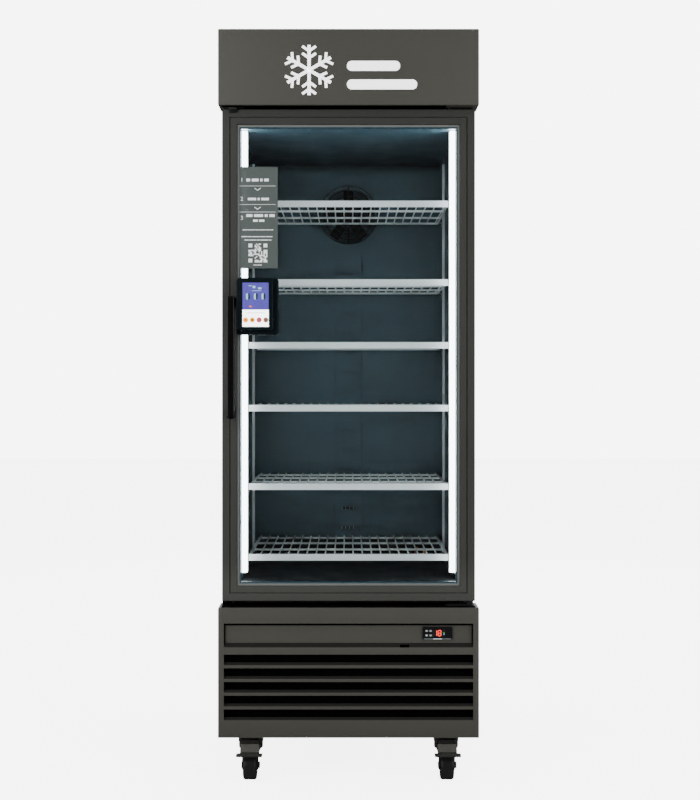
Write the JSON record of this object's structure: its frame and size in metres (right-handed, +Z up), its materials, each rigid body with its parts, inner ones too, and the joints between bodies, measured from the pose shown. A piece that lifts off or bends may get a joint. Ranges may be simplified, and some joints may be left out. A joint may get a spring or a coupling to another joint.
{
  "type": "vending fridge",
  "caption": "Upright glass-door vending fridge with header lock, payment terminal on the door, wire shelves, louvred base and castors.",
  "frame": {"origin": "on the floor, under the middle of the whole", "axes": "+X to the right as a customer faces the door, +Y from the door to the back, +Z up"},
  "size_m": [0.694, 0.795, 1.992],
  "materials": {
    "body_paint": "fine-texture powder coat, satin",
    "door_paint": "powder coated, satin",
    "galvanised": "galvanised sheet",
    "zinc_steel": "bright zinc plated",
    "liner_paint": "smooth dark slate enamel",
    "shelf_white": "white epoxy coat",
    "black_paint": "black enamel, satin",
    "copper": "drawn copper tube, dull",
    "fin_aluminium": "mill finish",
    "clear_glass": "clear tempered sheet",
    "screen_glass": "gloss cover over a colour display",
    "black_plastic": "moulded, fine grain",
    "grey_plastic": "moulded, satin",
    "white_plastic": "extruded, satin",
    "display_red": "tinted lens",
    "led_opal": "opal diffuser",
    "seal_rubber": "soft black extrusion",
    "wheel_rubber": "hard black tread",
    "foam": "closed-cell foam"
  },
  "bodies": {
    "cabinet": {"side_panels": "body_paint", "back_panel": "galvanised", "top_panel": "galvanised", "insulation_foam": "foam", "inner_liner": "liner_paint", "front_frame": "black_paint", "base_chassis": "galvanised", "header_cover": "body_paint", "base_grille": "body_paint", "control_strip": "body_paint", "cover_screws": "zinc_steel", "controller_case": "black_plastic", "controller_display": "display_red", "hinge_brackets": "zinc_steel", "compressor": "black_paint", "condenser_coil": "fin_aluminium", "condenser_shroud": "galvanised", "fan_motors": "black_paint", "drain_pan_and_hose": "grey_plastic", "evaporator_coil": "fin_aluminium", "duct_panel": "liner_paint", "shelf_pilasters": "zinc_steel", "shelf_clips": "zinc_steel", "wire_shelves": "shelf_white", "ticket_rails": "white_plastic", "led_channels": "fin_aluminium", "led_diffusers": "led_opal", "electronics_box": "black_plastic", "refrigerant_pipes": "copper", "power_inlet": "black_plastic", "rear_cover": "galvanised", "lock_housing": "zinc_steel", "castor_plates": "black_paint"},
    "door": {"door_frame": "door_paint", "glass_panes": "clear_glass", "glass_spacer": "fin_aluminium", "glazing_beads": "black_plastic", "door_gasket": "seal_rubber", "door_handle": "black_plastic", "hinge_cartridges": "zinc_steel", "terminal_housing": "black_plastic", "terminal_screen": "screen_glass", "lock_strike": "zinc_steel"},
    "lock_bolt": {"lock_bolt": "zinc_steel"},
    "condenser_fan": {"condenser_fan": "black_plastic"},
    "evaporator_fan": {"evaporator_fan": "black_plastic"},
    "button_set": {"button_set": "grey_plastic"},
    "button_up": {"button_up": "grey_plastic"},
    "button_down": {"button_down": "grey_plastic"},
    "button_light": {"button_light": "grey_plastic"},
    "castor_fork_front_left": {"castor_fork_front_left": "black_paint"},
    "castor_wheel_front_left": {"castor_wheel_front_left": "wheel_rubber"},
    "castor_fork_front_right": {"castor_fork_front_right": "black_paint"},
    "castor_wheel_front_right": {"castor_wheel_front_right": "wheel_rubber"},
    "castor_fork_rear_left": {"castor_fork_rear_left": "black_paint"},
    "castor_wheel_rear_left": {"castor_wheel_rear_left": "wheel_rubber"},
    "castor_fork_rear_right": {"castor_fork_rear_right": "black_paint"},
    "castor_wheel_rear_right": {"castor_wheel_rear_right": "wheel_rubber"},
    "castor_brake_front_left": {"castor_brake_front_left": "black_paint"},
    "castor_brake_front_right": {"castor_brake_front_right": "black_paint"}
  },
  "joints": [
    {"name": "door_hinge", "type": "hinge", "parent": "cabinet", "child": "door", "pos_m": [0.32, -0.3275, 1], "axis": [0, 0, 1], "range_deg": [0, 110], "stiffness_Nm_per_rad": 1.5, "springref_deg": -11.46},
    {"name": "lock_bolt_slide", "type": "slide", "parent": "cabinet", "child": "lock_bolt", "axis": [0, 0, -1], "range_m": [0, 0.012], "stiffness_N_per_m": 60},
    {"name": "condenser_fan_spin", "type": "hinge", "parent": "cabinet", "child": "condenser_fan", "pos_m": [-0.07, -0.19, 0.255], "axis": [0, 1, 0], "continuous": true},
    {"name": "evaporator_fan_spin", "type": "hinge", "parent": "cabinet", "child": "evaporator_fan", "pos_m": [0, 0.25, 1.5735], "axis": [0, 1, 0], "continuous": true},
    {"name": "button_set_press", "type": "slide", "parent": "cabinet", "child": "button_set", "axis": [0, 1, 0], "range_m": [0, 0.001], "stiffness_N_per_m": 400},
    {"name": "button_up_press", "type": "slide", "parent": "cabinet", "child": "button_up", "axis": [0, 1, 0], "range_m": [0, 0.001], "stiffness_N_per_m": 400},
    {"name": "button_down_press", "type": "slide", "parent": "cabinet", "child": "button_down", "axis": [0, 1, 0], "range_m": [0, 0.001], "stiffness_N_per_m": 400},
    {"name": "button_light_press", "type": "slide", "parent": "cabinet", "child": "button_light", "axis": [0, 1, 0], "range_m": [0, 0.001], "stiffness_N_per_m": 400},
    {"name": "castor_swivel_front_left", "type": "hinge", "parent": "cabinet", "child": "castor_fork_front_left", "pos_m": [-0.262, -0.3065, 0.1], "axis": [0, 0, 1], "continuous": true},
    {"name": "castor_roll_front_left", "type": "hinge", "parent": "castor_fork_front_left", "child": "castor_wheel_front_left", "pos_m": [-0.262, -0.3325, 0.038], "axis": [1, 0, 0], "continuous": true},
    {"name": "castor_swivel_front_right", "type": "hinge", "parent": "cabinet", "child": "castor_fork_front_right", "pos_m": [0.262, -0.3065, 0.1], "axis": [0, 0, 1], "continuous": true},
    {"name": "castor_roll_front_right", "type": "hinge", "parent": "castor_fork_front_right", "child": "castor_wheel_front_right", "pos_m": [0.262, -0.3325, 0.038], "axis": [1, 0, 0], "continuous": true},
    {"name": "castor_swivel_rear_left", "type": "hinge", "parent": "cabinet", "child": "castor_fork_rear_left", "pos_m": [-0.262, 0.3235, 0.1], "axis": [0, 0, 1], "continuous": true},
    {"name": "castor_roll_rear_left", "type": "hinge", "parent": "castor_fork_rear_left", "child": "castor_wheel_rear_left", "pos_m": [-0.262, 0.2975, 0.038], "axis": [1, 0, 0], "continuous": true},
    {"name": "castor_swivel_rear_right", "type": "hinge", "parent": "cabinet", "child": "castor_fork_rear_right", "pos_m": [0.262, 0.3235, 0.1], "axis": [0, 0, 1], "continuous": true},
    {"name": "castor_roll_rear_right", "type": "hinge", "parent": "castor_fork_rear_right", "child": "castor_wheel_rear_right", "pos_m": [0.262, 0.2975, 0.038], "axis": [1, 0, 0], "continuous": true},
    {"name": "castor_brake_press_front_left", "type": "hinge", "parent": "castor_fork_front_left", "child": "castor_brake_front_left", "pos_m": [-0.262, -0.3265, 0.082], "axis": [1, 0, 0], "range_deg": [0, 10], "stiffness_Nm_per_rad": 2, "springref_deg": -5.73},
    {"name": "castor_brake_press_front_right", "type": "hinge", "parent": "castor_fork_front_right", "child": "castor_brake_front_right", "pos_m": [0.262, -0.3265, 0.082], "axis": [1, 0, 0], "range_deg": [0, 10], "stiffness_Nm_per_rad": 2, "springref_deg": -5.73}
  ]
}
